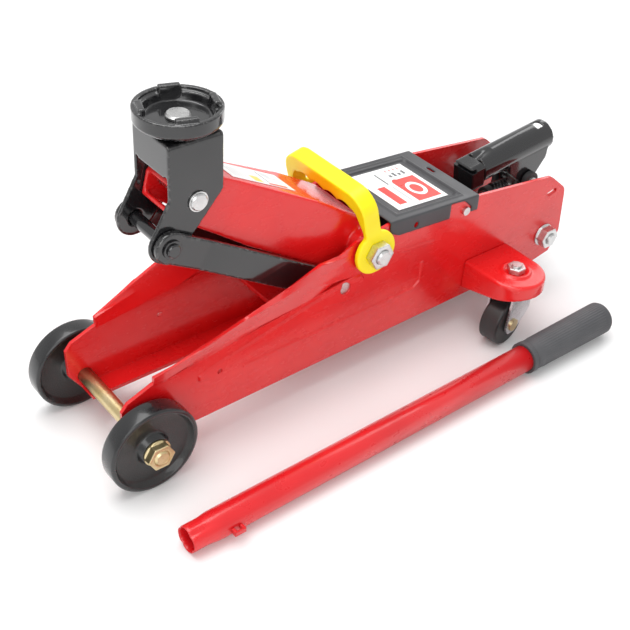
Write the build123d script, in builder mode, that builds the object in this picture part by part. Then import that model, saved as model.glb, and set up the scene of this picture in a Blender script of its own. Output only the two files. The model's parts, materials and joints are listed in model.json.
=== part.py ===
# Two-tonne trolley jack with its loose pump handle. Millimetres, +X to the
# rear, +Z up, the near side is -Y. Parts are drawn about a datum on the floor
# under the front axle and moved to the middle of the whole set on export.
import os
from math import atan2, cos, degrees, radians, sin

from build123d import *

os.makedirs("parts", exist_ok=True)

# Fits
run_fit = 0.08
side_gap = 0.3
snug = 0.05

# Frame
sheet = 3.0
plate_out = 41.5
plate_in = plate_out - sheet
flange_in = 21.5
fold_z0 = 72.2
fold_slope = 0.135
bottom_front = (-3.5, 24.0)
bottom_rear = (404.0, 30.8)
base_front = 142.0
base_rear = 299.0
base_top = 66.0

# Front wheels
wheel_r = 35.0
wheel_face = plate_out + 20.5
wheel_w = 15.4
axle_r = 6.0
axle_end = wheel_face + 8.8

# Lift linkage
pivot = (204.5, 116.5)
pivot_r = 6.0
arm_len = 163.2
arm_deg = 29.4
link_drop = (-23.9, -26.6)
arm_front_half = 18.3
arm_rear_half = 28.0
hub_r = 14.0
hub_half = plate_in - 0.7
arm_pin_r = 6.25
arm_pin_end = 25.0
link_pin_r = 5.0
link_pin_end = 31.1
link_bar_t = 5.0
link_front_in = 22.5
link_mid_in = 27.5
link_rear_in = plate_in - 6.0

# Saddle and its bracket
bracket_out = 22.0
bracket_top = 242.0
saddle_r = 30.0
saddle_z = 257.0
rivet_r = 6.0

# Carry handle
eye_r = 18.5
eye_in = plate_out + 1.8
eye_out = eye_in + 4.5
grip_x = 193.0
grip_top = 170.0

# Cover
cover_x0 = 221.0
cover_x1 = 316.0
cover_z0 = 134.8
cover_z1 = 128.1
cover_half = plate_out + 1.5
cover_t = 1.4

# Casters
swivel = (337.0, -plate_out - 34.8)
caster_plate_top = 65.0
caster_plate_r = 25.0
caster_r = 20.5
caster_w = 17.0
caster_trail = 9.0
caster_turn = 9.2
caster_rivet_r = 3.5
caster_bolt_r = 4.0

# Pump and hydraulics
ram_z = 91.5
ram_r = 9.0
cylinder_r = 16.0
cylinder_x0 = 232.0
block_x0 = 300.0
block_x1 = 420.0
block_half = 24.0
block_low = 60.0
block_high = 112.0
rear_bolt = (409.2, 56.3)
rear_bolt_r = 5.0

# Handle socket and plunger
socket_pivot = (409.0, 98.6)
socket_pin_r = 4.0
socket_r = 13.2
socket_bore = 11.3
socket_tilt = 6.8
socket_len = 82.0
socket_front = (354.0, 119.8)
socket_neck = 14.0
neck_bore = 8.4
roller_drop = 10.6
roller_r = 5.2
plunger_r = 4.0
spring_wire = 1.1
spring_r = 6.6

# Pump handle lying beside the jack
handle_r = 11.0
handle_wall = 1.8
handle_len = 424.5
handle_front = (-15.5, -123.0, 11.02)
handle_rear = (409.0, -120.0, 14.56)
grip_len = 93.0
grip_r0 = 13.0
grip_r1 = 14.5


arm_rad = radians(arm_deg)
arm_dir = (-cos(arm_rad), 0, sin(arm_rad))
arm_up = (sin(arm_rad), 0, cos(arm_rad))
arm_side = Plane(origin=(pivot[0], 0, pivot[1]), x_dir=arm_dir, z_dir=(0, 1, 0))
arm_plan = Plane(origin=(pivot[0], 0, pivot[1]), x_dir=arm_dir, z_dir=arm_up)
arm_pin = (pivot[0] - arm_len * cos(arm_rad), pivot[1] + arm_len * sin(arm_rad))
link_pin = (arm_pin[0] + link_drop[0], arm_pin[1] + link_drop[1])
link_rear = (pivot[0] + link_drop[0], pivot[1] + link_drop[1])
link_side = Plane(origin=(link_rear[0], 0, link_rear[1]), x_dir=arm_dir, z_dir=(0, 1, 0))
link_plan = Plane(origin=(link_rear[0], 0, link_rear[1]), x_dir=arm_dir, z_dir=arm_up)
roller_z = socket_pivot[1] - roller_drop


def fold_z(x):
    return fold_z0 + fold_slope * x


# A rod or ring lying along Y, from one value of Y to another
def bar_y(at, r, y0, y1, bore=0.0, mode=Mode.ADD):
    with BuildSketch(Plane.XZ.offset(-y1), mode=Mode.PRIVATE) as face:
        with Locations(at):
            Circle(r)
            if bore:
                Circle(bore, mode=Mode.SUBTRACT)
    extrude(face.sketch, amount=y1 - y0, mode=mode)


# A hexagon along Y with a bore
def hex_y(at, flats, y0, y1, bore):
    with BuildSketch(Plane.XZ.offset(-y1), mode=Mode.PRIVATE) as face:
        with Locations(at):
            RegularPolygon(flats / 2, 6, major_radius=False)
            Circle(bore, mode=Mode.SUBTRACT)
    extrude(face.sketch, amount=y1 - y0)


# A flat shape drawn in X and Z, thick from y0 to y1
def slab_y(points, y0, y1, mode=Mode.ADD):
    with BuildSketch(Plane.XZ.offset(-y1), mode=Mode.PRIVATE) as face:
        Polygon(*points, align=None)
    extrude(face.sketch, amount=y1 - y0, mode=mode)


# ---- frame side plates
plate_outline = [
    bottom_front,
    bottom_rear,
    (421.9, 34.5),
    (431.0, 53.0),
    (427.3, 97.7),
    (406.0, 115.3),
    (cover_x1, cover_z1 - 2.2),
    (cover_x0, cover_z0 - 2.4),
    (204.0, 129.6),
    (190.0, 128.0),
    (190.0, fold_z(190.0)),
    (12.0, fold_z(12.0)),
    (12.0, 76.3),
    (-8.9, 68.0),
    (-13.9, 62.0),
    (-13.6, 52.0),
    (-13.2, 38.6),
]
flare = [(12.0, plate_out + 1.1, 82.0), (50.0, plate_out + 7.0, 96.0)]
flare += [(80.0, plate_out + 9.5, 107.0), (150.0, plate_out + 8.0, 127.0)]
flare += [(190.0, plate_out, 128.0), (191.0, plate_out, 128.1)]
rib = [(48.0, 60.5), (60.0, 59.0), (150.0, 75.5), (166.0, 79.0), (180.0, 76.5), (189.0, 76.0)]
rib += [(194.0, 84.0), (200.0, 92.0), (196.0, 98.0), (150.0, 89.0), (60.0, 70.0), (48.0, 66.5)]
bead = [(87.0, 55.6), (256.0, 57.9), (263.5, 64.5), (262.8, 84.0), (259.2, 84.0), (259.6, 66.0)]
bead += [(254.0, 61.6), (87.0, 59.2)]
brow = [(232.0, 101.6), (272.0, 97.2), (272.0, 100.8), (232.0, 105.2)]
with BuildPart() as frame_side_near:
    slab_y(plate_outline, -plate_out, -plate_in)
    tail = frame_side_near.edges().filter_by(Axis.Y).filter_by_position(Axis.X, 405.5, 440)
    fillet(tail.filter_by_position(Axis.Z, 80, 120), 11)
    fillet(tail.filter_by_position(Axis.Z, 50, 60), 8)
    low = [bottom_front, bottom_rear]
    low += [(bottom_rear[0], bottom_rear[1] + sheet), (bottom_front[0], bottom_front[1] + sheet)]
    slab_y(low, -plate_out + 0.5, -flange_in)
    for x, out, top in flare:
        with BuildSketch(Plane.YZ.offset(x)) as section:
            Polygon(
                (-plate_out, fold_z(x) - 1),
                (-plate_in, fold_z(x) - 1),
                (-plate_in, fold_z(x)),
                (-out + sheet, top),
                (-out, top),
                (-plate_out, fold_z(x)),
                align=None,
            )
    loft(ruled=True)
    for points, high, soft in ((rib, 1.5, 2.0), (bead, 1.1, 1.0), (brow, 1.0, 1.0)):
        with BuildSketch(Plane.XZ.offset(plate_out)) as panel:
            Polygon(*points, align=None)
            fillet(panel.vertices(), soft)
        extrude(amount=high, taper=40)
    bar_y(pivot, pivot_r + snug, -plate_out - 1, -plate_in + 1, mode=Mode.SUBTRACT)
    bar_y((0, wheel_r), axle_r + snug, -plate_out - 1, -plate_in + 1, mode=Mode.SUBTRACT)
    bar_y(rear_bolt, rear_bolt_r + snug, -plate_out - 1, -plate_in + 1, mode=Mode.SUBTRACT)
    bar_y(link_rear, link_pin_r + snug, -plate_out - 3, -plate_in + 1, mode=Mode.SUBTRACT)
    bar_y((66.0, 63.0), 2.2, -plate_out - 3, -plate_in + 1, mode=Mode.SUBTRACT)
    for at in ((302.7, 117.2), (248.4, 123.2)):
        bar_y(at, 2.5 + snug, -plate_out - 1, -plate_in + 1, mode=Mode.SUBTRACT)
    with BuildSketch(Plane.XZ.offset(plate_in - 1)):
        with Locations((410.0, 98.5)):
            SlotOverall(12.0, 4.6, rotation=14)
    extrude(amount=sheet + 2, mode=Mode.SUBTRACT)

with BuildPart() as frame_side_far:
    mirror(frame_side_near.part, about=Plane.XZ)

with BuildPart() as base_plate:
    with Locations((base_front, 0, base_top - sheet)):
        Box(base_rear - base_front, 2 * plate_in, sheet, align=(Align.MIN, Align.CENTER, Align.MIN))
    chamfer(base_plate.edges().filter_by(Axis.Y).sort_by(Axis.X)[0], 1)

# ---- front axle and wheels
with BuildPart() as front_axle:
    bar_y((0, wheel_r), axle_r, -axle_end, axle_end)
    chamfer(front_axle.edges().filter_by(GeomType.CIRCLE), 1.4)

with BuildPart() as axle_spacers:
    for side in (-1, 1):
        y0, y1 = sorted((side * plate_out, side * (wheel_face - wheel_w - 0.1)))
        bar_y((0, wheel_r), 9.5, y0, y1, bore=axle_r + snug)

with BuildPart() as axle_nuts:
    for side in (-1, 1):
        y0, y1 = sorted((side * (wheel_face + 0.1), side * (wheel_face + 1.9)))
        bar_y((0, wheel_r), 10.8, y0, y1, bore=axle_r + snug)
        y0, y1 = sorted((side * (wheel_face + 1.9), side * (wheel_face + 8.0)))
        hex_y((0, wheel_r), 18.5, y0, y1, axle_r + snug)

with BuildPart() as front_wheel_near:
    with BuildSketch(Plane.YZ) as tread:
        with Locations((-wheel_face, wheel_r)):
            Polygon(
                (0.6, axle_r + run_fit),
                (0.6, 11.6),
                (2.6, 13.2),
                (5.6, 14.2),
                (5.6, 29.0),
                (4.6, 30.4),
                (0.8, 31.6),
                (0.0, 32.4),
                (0.0, wheel_r - 1.0),
                (1.0, wheel_r),
                (wheel_w - 1.0, wheel_r),
                (wheel_w, wheel_r - 1.0),
                (wheel_w, 32.4),
                (wheel_w - 0.8, 31.6),
                (wheel_w - 4.6, 30.4),
                (wheel_w - 5.6, 29.0),
                (wheel_w - 5.6, 14.2),
                (wheel_w, 12.4),
                (wheel_w, axle_r + run_fit),
                align=None,
            )
    revolve(axis=Axis((0, 0, wheel_r), (0, 1, 0)))

with BuildPart() as front_wheel_far:
    mirror(front_wheel_near.part, about=Plane.XZ)

# ---- main pivot
with BuildPart() as pivot_shaft:
    bar_y(pivot, pivot_r, -57.0, 57.0)
    chamfer(pivot_shaft.edges().filter_by(GeomType.CIRCLE), 1)

with BuildPart() as pivot_washers:
    for side in (-1, 1):
        y0, y1 = sorted((side * plate_out, side * (eye_in - 0.1)))
        bar_y(pivot, 10.5, y0, y1, bore=pivot_r + snug)

with BuildPart() as pivot_nuts:
    for side in (-1, 1):
        y0, y1 = sorted((side * (eye_out + 0.1), side * 55.0))
        hex_y(pivot, 19.0, y0, y1, pivot_r + snug)

# ---- lift arm: a tapering inverted channel on a hub tube
arm_outline = [
    (176.0, -16.5),
    (181.0, 1.0),
    (177.0, 12.0),
    (168.0, 18.5),
    (60.0, 21.0),
    (12.0, 19.0),
    (-10.0, 12.0),
    (-15.0, 0.0),
    (-8.0, -16.0),
    (20.0, -27.0),
    (100.0, -25.0),
    (150.0, -20.0),
]
arm_hollow = [
    (173.0, -40.0),
    (173.0, -13.2),
    (200.0, -13.2),
    (200.0, -0.4),
    (177.6, 0.6),
    (174.6, 10.0),
    (167.0, 15.5),
    (60.0, 18.0),
    (14.0, 16.0),
    (-40.0, 14.0),
    (-40.0, -40.0),
]


def channel_plan(trim):
    return [
        (200.0, arm_front_half - trim),
        (130.0, arm_front_half - trim),
        (30.0, arm_rear_half - trim),
        (-60.0, arm_rear_half - trim),
        (-60.0, -arm_rear_half + trim),
        (30.0, -arm_rear_half + trim),
        (130.0, -arm_front_half + trim),
        (200.0, -arm_front_half + trim),
    ]


with BuildPart() as arm_inside:
    with BuildSketch(arm_side):
        Polygon(*arm_hollow, align=None)
    extrude(amount=60, both=True)
    with BuildSketch(arm_plan):
        Polygon(*channel_plan(sheet), align=None)
    extrude(amount=90, both=True, mode=Mode.INTERSECT)

# the lug stands straight under the pivot when the arm is half way up
lug_r = 26.0
lug_deg = 6.85
lug = (pivot[0] - lug_r * sin(radians(lug_deg)), pivot[1] - lug_r * cos(radians(lug_deg)))
lug_roller_r = 5.0
lug_in = 8.0
lug_out = 12.0
with BuildPart() as lift_arm:
    with BuildSketch(arm_side):
        Polygon(*arm_outline, align=None)
    extrude(amount=60, both=True)
    with BuildSketch(arm_plan):
        Polygon(*channel_plan(0), align=None)
    extrude(amount=90, both=True, mode=Mode.INTERSECT)
    add(arm_inside.part, mode=Mode.SUBTRACT)
    bar_y(pivot, hub_r, -hub_half, hub_half)
    for y0, y1 in ((-lug_out, -lug_in), (lug_in, lug_out)):
        across = (9.0 * cos(radians(lug_deg)), 9.0 * sin(radians(lug_deg)))
        cheek = [(pivot[0] - across[0], pivot[1] + across[1])]
        cheek += [(lug[0] - across[0] * 0.8, lug[1] + across[1] * 0.8)]
        cheek += [(lug[0] + across[0] * 0.8, lug[1] - across[1] * 0.8)]
        cheek += [(pivot[0] + across[0], pivot[1] - across[1])]
        slab_y(cheek, y0, y1)
        bar_y(lug, 7.2, y0, y1)
        bar_y(lug, 3.0 + snug, y0, y1, mode=Mode.SUBTRACT)
    bar_y(pivot, pivot_r + run_fit, -hub_half - 1, hub_half + 1, mode=Mode.SUBTRACT)
    bar_y(arm_pin, arm_pin_r + snug, -30, 30, mode=Mode.SUBTRACT)

with BuildPart() as lug_roller:
    bar_y(lug, 3.0, -lug_out, lug_out)
    bar_y(lug, lug_roller_r, -lug_in + 0.2, lug_in - 0.2)

with BuildPart() as arm_label:
    with BuildSketch(arm_side.offset(-13.0)):
        slope = degrees(atan2(2.5, 108.0))
        with Locations(Location((104.0, 20.05 + 0.2, 0), (0, 0, -slope))):
            Rectangle(62.0, 0.3)
    extrude(amount=26.0)

with BuildPart() as arm_pin_bar:
    bar_y(arm_pin, arm_pin_r, -arm_pin_end, arm_pin_end)
    chamfer(arm_pin_bar.edges().filter_by(GeomType.CIRCLE), 0.8)

with BuildPart() as arm_pin_clips:
    for side in (-1, 1):
        y0, y1 = sorted((side * (bracket_out + 0.35), side * (bracket_out + 1.35)))
        bar_y(arm_pin, 7.4, y0, y1, bore=arm_pin_r + snug)

# ---- parallel links
link_in = [(-20.0, link_rear_in), (40.0, link_rear_in), (arm_len - 77.2, link_mid_in)]
link_in += [(arm_len - 30.2, link_front_in), (arm_len + 21.8, link_front_in)]
link_edge = link_in + [(t, y + link_bar_t) for t, y in reversed(link_in)]
with BuildPart() as link_bar_near:
    with BuildSketch(link_side):
        Circle(12.0)
        with Locations((arm_len, 0)):
            Circle(12.0)
        with Locations((arm_len / 2, 0)):
            Rectangle(arm_len, 22.6)
        for t in (0, arm_len):
            with Locations((t, 0)):
                Circle(link_pin_r + (run_fit if t == 0 else snug), mode=Mode.SUBTRACT)
    extrude(amount=60, both=True)
    with BuildSketch(link_plan):
        Polygon(*link_edge, align=None)
    extrude(amount=60, both=True, mode=Mode.INTERSECT)

with BuildPart() as link_bar_far:
    mirror(link_bar_near.part, about=Plane.XZ)

with BuildPart() as link_studs:
    for side in (-1, 1):
        y0, y1 = sorted((side * (link_rear_in - 0.3), side * plate_out))
        bar_y(link_rear, link_pin_r, y0, y1)
        y0, y1 = sorted((side * (link_rear_in - 2.2), side * (link_rear_in - 0.3)))
        bar_y(link_rear, 8.0, y0, y1)

with BuildPart() as link_pin_rod:
    bar_y(link_pin, link_pin_r, -link_pin_end, link_pin_end)
    chamfer(link_pin_rod.edges().filter_by(GeomType.CIRCLE), 0.8)

with BuildPart() as link_rings:
    for side in (-1, 1):
        y0, y1 = sorted((side * (link_front_in + link_bar_t + 0.1), side * 29.0))
        bar_y(link_pin, 7.0, y0, y1, bore=link_pin_r + snug)

# ---- saddle bracket
bracket_in = bracket_out - sheet
tongue_r = 14.0
with BuildPart() as saddle_bracket:
    front_tongue = (link_pin[0] - 12.2, link_pin[1] + 6.8)
    rear_tongue = (link_pin[0] + 11.5, link_pin[1] - 8.0)
    outline = [(40.6, bracket_top), (83.1, bracket_top), (83.1, 200.0)]
    outline += [rear_tongue, link_pin, front_tongue, (40.6, 202.0)]
    slab_y(outline, -bracket_out, bracket_out)
    bar_y(link_pin, tongue_r, -bracket_out, bracket_out)
    with Locations((50.0, 0, bracket_top - sheet)):
        Box(140, 2 * bracket_in, 140, align=(Align.CENTER, Align.CENTER, Align.MAX), mode=Mode.SUBTRACT)
    with BuildSketch(Plane.YZ.offset(40.6)) as flap:
        with Locations((0, 228.5)):
            Rectangle(2 * bracket_in + 1, 23.0)
        fillet(flap.vertices().group_by(Axis.Y)[0], 6)
    extrude(amount=sheet)
    shoulders = saddle_bracket.edges().filter_by(Axis.X).filter_by_position(Axis.Z, 241, 243)
    fillet(shoulders, 2.6)
    bar_y(arm_pin, arm_pin_r + run_fit, -30, 30, mode=Mode.SUBTRACT)
    bar_y(link_pin, link_pin_r + side_gap, -40, 40, mode=Mode.SUBTRACT)
    with Locations((arm_pin[0], 0, bracket_top)):
        Cylinder(rivet_r + snug, 20, mode=Mode.SUBTRACT)

# ---- saddle
saddle_floor = 248.5
with BuildPart() as saddle:
    with BuildSketch(Plane.XZ):
        with Locations((arm_pin[0], 0)):
            Polygon(
                (rivet_r + run_fit, bracket_top + 0.4),
                (22.0, bracket_top + 0.4),
                (saddle_r - 3.0, 245.0),
                (saddle_r, 248.0),
                (saddle_r, saddle_z),
                (26.5, saddle_z),
                (26.5, 254.5),
                (24.0, 254.5),
                (22.5, saddle_floor),
                (rivet_r + run_fit, saddle_floor),
                align=None,
            )
    revolve(axis=Axis((arm_pin[0], 0, 0), (0, 0, 1)))
    with Locations((arm_pin[0], 0, saddle_floor)):
        with PolarLocations(24.6, 4, start_angle=71):
            Box(4.6, 15.0, 11.2, align=(Align.CENTER, Align.CENTER, Align.MIN))

with BuildPart() as saddle_rivet:
    with Locations((arm_pin[0], 0, saddle_floor + 0.35)):
        Cylinder(8.5, 2.6, align=(Align.CENTER, Align.CENTER, Align.MIN))
    with Locations((arm_pin[0], 0, saddle_floor + 0.35)):
        Cylinder(rivet_r, 13.0, align=(Align.CENTER, Align.CENTER, Align.MAX))
    chamfer(saddle_rivet.edges().filter_by(GeomType.CIRCLE).sort_by(Axis.Z)[-1], 1.2)

# ---- top cover
label_x0 = 241.0
label_x1 = 294.0
label_half = 29.5
well_x0 = 232.0
well_x1 = 303.0
well_half = 34.5
well_deep = 1.6
cover_slope = (cover_z0 - cover_z1) / (cover_x1 - cover_x0)


def cover_top(x):
    return cover_z0 - cover_slope * (x - cover_x0)


with BuildPart() as cover:
    skirt = [(cover_x0, cover_z0), (cover_x1, cover_z1), (cover_x1, 114.0), (294.0, 115.2)]
    skirt += [(231.0, 119.7), (224.0, 123.0), (cover_x0, 127.0)]
    slab_y(skirt, -cover_half, cover_half)
    fillet(cover.edges().filter_by(Axis.X, tolerance=5).group_by(Axis.Z)[-1], 1.2)
    under = [(cover_x0 - 2, cover_top(cover_x0 - 2) - cover_t)]
    under += [(cover_x1 + 2, cover_top(cover_x1 + 2) - cover_t), (cover_x1 + 2, 100.0)]
    under += [(cover_x0 - 2, 100.0)]
    slab_y(under, -plate_out - 0.1, plate_out + 0.1, mode=Mode.SUBTRACT)
    sunk = [(x, cover_top(x) - well_deep - cover_t) for x in (well_x0, well_x1)]
    sunk += [(x, cover_top(x) - 0.5) for x in (well_x1, well_x0)]
    slab_y(sunk, -well_half, well_half)
    for y0, y1 in ((-50, -plate_out), (plate_out, 50)):
        notch = [(285.0, 100.0), (285.0, 129.5), (300.0, 127.0), (308.5, 119.0), (308.5, 100.0)]
        slab_y(notch, y0, y1, mode=Mode.SUBTRACT)
        bar_y((248.4, 123.2), 2.2, y0, y1, mode=Mode.SUBTRACT)
    well_mid = (well_x0 + well_x1) / 2
    well_plane = Plane(origin=(well_mid, 0, cover_top(well_mid)), x_dir=(1, 0, -cover_slope), z_dir=(cover_slope, 0, 1))
    with BuildSketch(well_plane) as well:
        RectangleRounded(well_x1 - well_x0 - 3.0, 2 * well_half - 3.0, 5.0)
    extrude(amount=-well_deep, taper=40, mode=Mode.SUBTRACT)
    with BuildSketch(well_plane):
        with Locations((well_x1 - well_mid + 6.5, 8.0)):
            SlotOverall(9.0, 2.4, rotation=90)
    extrude(amount=-5, mode=Mode.SUBTRACT)

with BuildPart() as label_plate:
    ends = (label_x0 + 0.2, label_x1 - 0.2)
    face = [(x, cover_top(x) - well_deep + 0.03) for x in ends]
    face += [(x, cover_top(x) - well_deep + 0.43) for x in reversed(ends)]
    slab_y(face, -label_half + 0.2, label_half - 0.2)

with BuildPart() as cover_screws:
    for side in (-1, 1):
        y0, y1 = sorted((side * (plate_out + 0.05), side * (plate_out + 2.4)))
        bar_y((302.7, 117.2), 3.6, y0, y1)
        y0, y1 = sorted((side * (plate_in - 1), side * (plate_out + 0.05)))
        bar_y((302.7, 117.2), 2.5, y0, y1)

# ---- carry handle: an arch leaning forward from two eyes
arch_top = 53.8
arch_low = 38.8
arch_t = 14.5
lean = atan2(grip_top - 7.5 - pivot[1], pivot[0] - grip_x)
arch_plane = Plane(origin=(pivot[0], 0, pivot[1]), x_dir=(0, 1, 0), z_dir=(sin(lean), 0, cos(lean)))
with BuildPart() as carry_handle:
    with BuildSketch(arch_plane) as arch:
        with Locations((0, arch_top / 2)):
            Rectangle(2 * eye_out, arch_top)
        fillet(arch.vertices().group_by(Axis.Z)[-1], 17)
    extrude(amount=arch_t / 2, both=True)
    with BuildSketch(arch_plane) as gap:
        Polygon(
            (-eye_in, -1.0),
            (-eye_in, 22.0),
            (-36.0, arch_low),
            (36.0, arch_low),
            (eye_in, 22.0),
            (eye_in, -1.0),
            align=None,
        )
        fillet(gap.vertices().group_by(Axis.Z)[-1], 6)
        for y in (-24.0, -8.0, 8.0, 24.0):
            with Locations((y, arch_low - 9.4)):
                Circle(12.0)
    extrude(amount=arch_t, both=True, mode=Mode.SUBTRACT)
    for y0, y1 in ((-eye_out, -eye_in), (eye_in, eye_out)):
        bar_y(pivot, eye_r, y0, y1)
    bar_y(pivot, pivot_r + run_fit, -60, 60, mode=Mode.SUBTRACT)

# ---- rear cross bolt
with BuildPart() as rear_tie:
    bar_y(rear_bolt, rear_bolt_r, -plate_out - 11.5, plate_out + 11.5)
    chamfer(rear_tie.edges().filter_by(GeomType.CIRCLE), 0.8)

with BuildPart() as rear_nuts:
    for side in (-1, 1):
        y0, y1 = sorted((side * (plate_out + 0.02), side * (plate_out + 1.5)))
        bar_y(rear_bolt, 10.5, y0, y1, bore=rear_bolt_r + snug)
        y0, y1 = sorted((side * (plate_out + 1.5), side * (plate_out + 9.5)))
        hex_y(rear_bolt, 17.0, y0, y1, rear_bolt_r + snug)


# ---- casters, built on the near side and mirrored
def shelf_outline(grow, top, depth):
    with BuildSketch(Plane.XY.offset(top), mode=Mode.PRIVATE) as shelf:
        with Locations(swivel):
            Circle(caster_plate_r + grow)
        with Locations((swivel[0], (swivel[1] - plate_out) / 2)):
            Rectangle(2 * (caster_plate_r + grow), -swivel[1] - plate_out)
    extrude(shelf.sketch, amount=-depth, mode=Mode.ADD if grow == 0 else Mode.SUBTRACT)


with BuildPart() as caster_shelf_near:
    shelf_outline(0, caster_plate_top, 27.0)
    crown = caster_shelf_near.faces().sort_by(Axis.Z)[-1].edges()
    fillet(crown.filter_by_position(Axis.Y, -200, -plate_out - 1), 2.6)
    shelf_outline(-sheet, caster_plate_top - sheet, 40.0)
    with BuildSketch(Plane.YZ) as slant:
        Polygon(
            (-plate_out + 0.5, 37.9),
            (-plate_out - 60.5, 53.0),
            (-plate_out - 60.5, 20.0),
            (-plate_out + 0.5, 20.0),
            align=None,
        )
    extrude(amount=500, mode=Mode.SUBTRACT)
    with Locations((swivel[0], swivel[1], caster_plate_top)):
        Cylinder(12.5, 1.6, align=(Align.CENTER, Align.CENTER, Align.MIN))
        Cylinder(caster_bolt_r + snug, 30, mode=Mode.SUBTRACT)
        Cylinder(9.4, 1.7, align=(Align.CENTER, Align.CENTER, Align.MIN), mode=Mode.SUBTRACT)

with BuildPart() as caster_shelf_far:
    mirror(caster_shelf_near.part, about=Plane.XZ)

fork_top = caster_plate_top - sheet - 0.4
with BuildPart() as caster_bolts:
    for side in (-1, 1):
        with Locations((swivel[0], side * abs(swivel[1]), 0)):
            with Locations((0, 0, 54.0)):
                Cylinder(caster_bolt_r, 18.0, align=(Align.CENTER, Align.CENTER, Align.MIN))
            with Locations((0, 0, 53.0)):
                Cylinder(7.0, fork_top - 3.4 - 53.0, align=(Align.CENTER, Align.CENTER, Align.MIN))

with BuildPart() as caster_nuts:
    for side in (-1, 1):
        with BuildSketch(Plane.XY.offset(caster_plate_top)) as nut_face:
            with Locations((swivel[0], side * abs(swivel[1]))):
                RegularPolygon(6.8, 6, major_radius=False)
                Circle(caster_bolt_r + snug, mode=Mode.SUBTRACT)
        extrude(amount=5.0)

trail_dir = (-cos(radians(caster_turn)), -sin(radians(caster_turn)), 0)
fork_side = Plane(origin=(swivel[0], swivel[1], 0), x_dir=trail_dir, z_dir=(trail_dir[1], -trail_dir[0], 0))
fork_in = caster_w / 2 + 1.2
fork_t = 2.0
with BuildPart() as caster_fork_near:
    with Locations((swivel[0], swivel[1], fork_top)):
        Cylinder(16.5, 3.0, align=(Align.CENTER, Align.CENTER, Align.MAX))
    with BuildSketch(fork_side) as cheek_face:
        Polygon(
            (-13.5, fork_top),
            (13.0, fork_top),
            (caster_trail + 8.6, caster_r + 6),
            (caster_trail + 9.0, caster_r - 2),
            (caster_trail + 5.6, caster_r - 7.6),
            (caster_trail - 3.6, caster_r - 8.6),
            (caster_trail - 11.0, caster_r - 3),
            (-13.5, caster_r + 8),
            align=None,
        )
        fillet(cheek_face.vertices().filter_by_position(Axis.Z, 0, 40), 2.5)
    extrude(amount=fork_in + fork_t, both=True)
    with BuildSketch(fork_side.offset(-fork_in)):
        with Locations((0, (fork_top - 3.0) / 2)):
            Rectangle(120.0, fork_top - 3.0)
    extrude(amount=2 * fork_in, mode=Mode.SUBTRACT)
    with Locations((swivel[0], swivel[1], fork_top)):
        Cylinder(caster_bolt_r + run_fit, 30.0, mode=Mode.SUBTRACT)
    with BuildSketch(fork_side.offset(-30)):
        with Locations((caster_trail, caster_r)):
            Circle(caster_rivet_r + snug)
    extrude(amount=60, mode=Mode.SUBTRACT)

with BuildPart() as caster_fork_far:
    mirror(caster_fork_near.part, about=Plane.XZ)

with BuildPart() as caster_wheel_near:
    with BuildSketch(fork_side.offset(-caster_w / 2)):
        with Locations((caster_trail, caster_r)):
            Circle(caster_r)
            Circle(caster_rivet_r + run_fit, mode=Mode.SUBTRACT)
    extrude(amount=caster_w)
    rims = caster_wheel_near.edges().filter_by(GeomType.CIRCLE)
    fillet(rims.filter_by(lambda e: e.radius > 10), 1.6)

with BuildPart() as caster_wheel_far:
    mirror(caster_wheel_near.part, about=Plane.XZ)

with BuildPart() as caster_rivet_near:
    with BuildSketch(fork_side.offset(-fork_in - fork_t - 1.5)):
        with Locations((caster_trail, caster_r)):
            Circle(caster_rivet_r)
    extrude(amount=2 * (fork_in + fork_t + 1.5))
    for start in (-fork_in - fork_t - 1.5, fork_in + fork_t + 0.02):
        with BuildSketch(fork_side.offset(start)):
            with Locations((caster_trail, caster_r)):
                Circle(5.4)
        extrude(amount=1.48)

with BuildPart() as caster_rivet_far:
    mirror(caster_rivet_near.part, about=Plane.XZ)

# ---- hydraulic unit
boss_x0 = 371.0
boss_x1 = 378.0
boss_r = 7.0
ear_in = 14.0
ear_out = 18.5
with BuildPart() as pump_block:
    tall = [(block_x0, 34.5), (block_x1, 34.5), (block_x1, block_low), (324.0, block_low)]
    tall += [(324.0, block_high), (block_x0, block_high)]
    slab_y(tall, -block_half, block_half)
    with BuildSketch(Plane.YZ.offset(boss_x0)):
        with Locations((0, roller_z)):
            Circle(boss_r)
        with Locations((0, (roller_z + block_low) / 2)):
            Rectangle(2 * boss_r, roller_z - block_low)
    extrude(amount=boss_x1 - boss_x0)
    slab_y([(352.0, 55.0), (boss_x1, 55.0), (boss_x1, 79.0), (352.0, 79.0)], -12.0, 12.0)
    for y0, y1 in ((-ear_out, -ear_in), (ear_in, ear_out)):
        slab_y([(398.0, 58.0), (419.0, 58.0), (417.0, 98.6), (401.0, 98.6)], y0, y1)
        bar_y(socket_pivot, 8.0, y0, y1)
    with BuildSketch(Plane.YZ.offset(boss_x0 - 5)):
        with Locations((0, roller_z)):
            Circle(plunger_r + run_fit)
    extrude(amount=20, mode=Mode.SUBTRACT)
    bar_y(socket_pivot, socket_pin_r + snug, -30, 30, mode=Mode.SUBTRACT)
    bar_y(rear_bolt, rear_bolt_r + snug, -30, 30, mode=Mode.SUBTRACT)

with BuildPart() as cylinder:
    with BuildSketch(Plane.YZ.offset(cylinder_x0)):
        with Locations((0, ram_z)):
            Circle(cylinder_r)
    extrude(amount=block_x0 - cylinder_x0)
    chamfer(cylinder.edges().filter_by(GeomType.CIRCLE).group_by(Axis.X)[0], 1.5)
    with BuildSketch(Plane.YZ.offset(cylinder_x0)):
        with Locations((0, ram_z)):
            Circle(ram_r + run_fit)
    extrude(amount=block_x0 - cylinder_x0 - 6, mode=Mode.SUBTRACT)

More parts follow.
